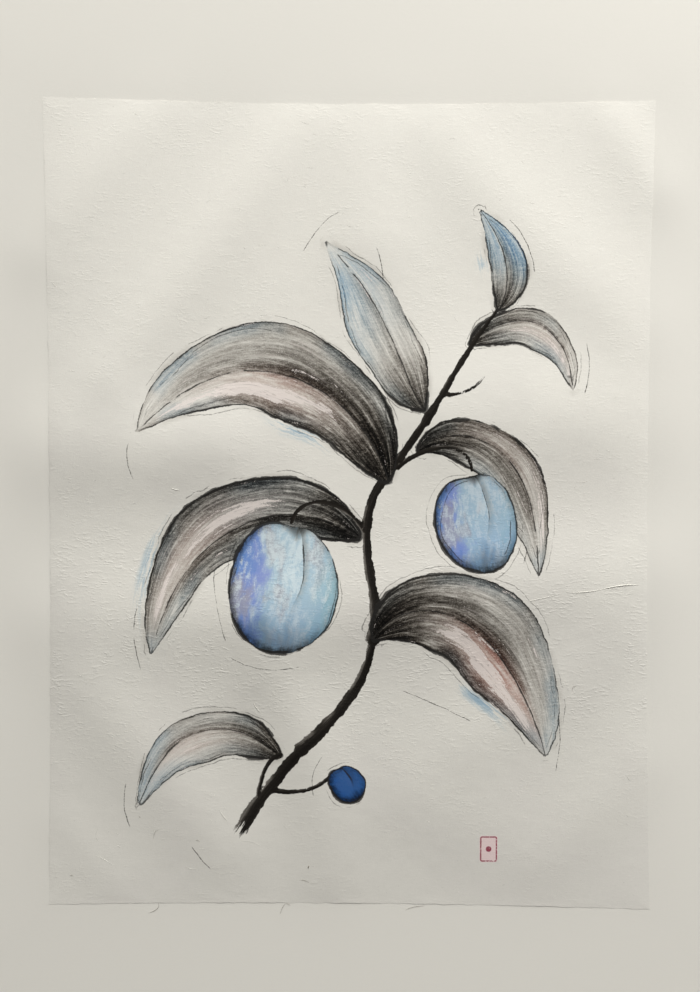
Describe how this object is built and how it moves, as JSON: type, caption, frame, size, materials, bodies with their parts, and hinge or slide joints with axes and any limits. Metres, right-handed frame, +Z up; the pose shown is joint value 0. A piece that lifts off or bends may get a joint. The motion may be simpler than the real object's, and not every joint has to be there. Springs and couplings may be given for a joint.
{
  "type": "mounted brush painting on handmade paper",
  "caption": "Ink and watercolour of a plum branch on a cockled sheet of handmade paper, pasted on a larger smooth backing sheet that lies flat on a surface.",
  "frame": {"origin": "middle of the backing sheet's footprint, on the surface that it lies on", "axes": "+Z up out of the painted face, +Y towards the top of the picture, +X to its right"},
  "size_m": [0.4, 0.5, 0.0071],
  "materials": {
    "backing_paper": "smooth matt cream paper",
    "handmade_paper": "rough off-white handmade paper with short fibres and a painting in ink and watercolour"
  },
  "bodies": {
    "root": {"backing_sheet": "backing_paper", "painted_sheet": "handmade_paper"}
  },
  "joints": []
}
